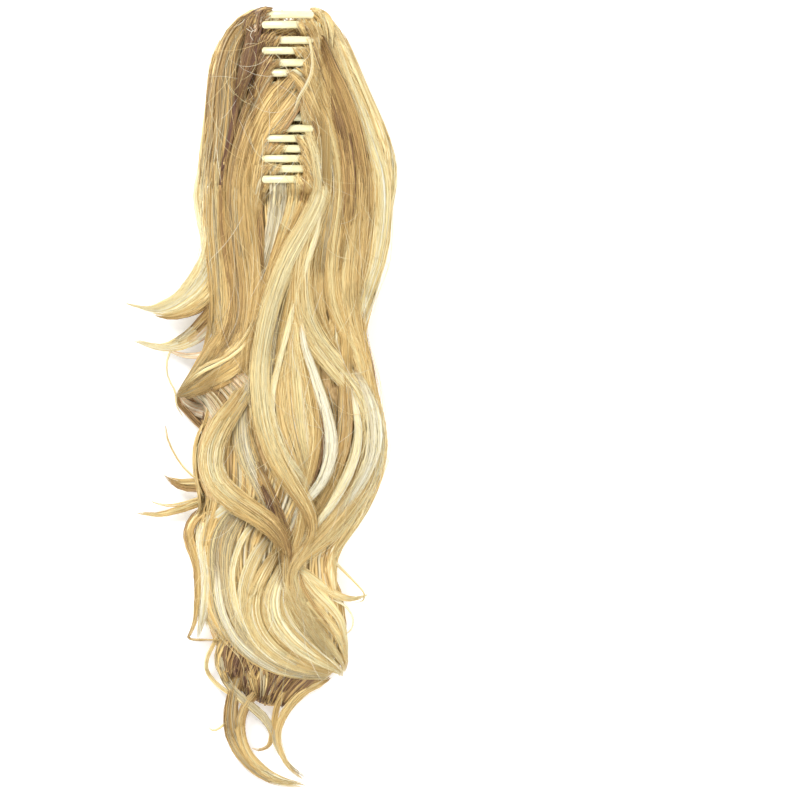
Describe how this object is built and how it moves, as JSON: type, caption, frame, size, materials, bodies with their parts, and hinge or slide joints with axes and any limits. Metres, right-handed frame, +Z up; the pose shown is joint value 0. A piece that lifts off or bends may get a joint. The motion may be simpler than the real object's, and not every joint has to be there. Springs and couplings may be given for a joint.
{
  "type": "claw-clip ponytail hairpiece",
  "caption": "Long wavy blonde ponytail hairpiece sewn to a sprung plastic claw clip, lying flat with the clip's teeth up.",
  "frame": {"origin": "on the surface that the hairpiece lies on, under the middle of its outline", "axes": "+Z up out of the surface, towards the claw's teeth; +Y along the tail towards the claw end; +X to the right as seen from above with the claw at the top"},
  "size_m": [0.1919, 0.5574, 0.0677],
  "materials": {
    "cream_plastic": "glossy cream, slightly translucent",
    "steel": "bright wire",
    "blonde_hair": "silky golden blonde synthetic hair with honey and brown lowlights",
    "pale_hair": "silky pale blonde synthetic hair"
  },
  "bodies": {
    "hairpiece": {"jaw_left": "cream_plastic", "hinge_pin": "steel", "spring": "steel", "hair_left": "blonde_hair", "tail": "blonde_hair", "flick_upper": "pale_hair", "flick_lower": "pale_hair", "fold_lock": "pale_hair", "flick_right": "pale_hair", "tuft_upper": "pale_hair", "tuft_lower": "pale_hair", "end_curl_outer": "pale_hair", "end_curl_inner": "pale_hair"},
    "right_jaw": {"jaw_right": "cream_plastic", "hair_right": "blonde_hair"}
  },
  "joints": [
    {"name": "claw_hinge", "type": "hinge", "parent": "hairpiece", "child": "right_jaw", "pos_m": [0.0214, 0.21468, 0.025], "axis": [0, 1, 0], "range_deg": [0, 80], "stiffness_Nm_per_rad": 0.2, "springref_deg": -22.92, "deforming": ["spring", "hair_right"]}
  ]
}
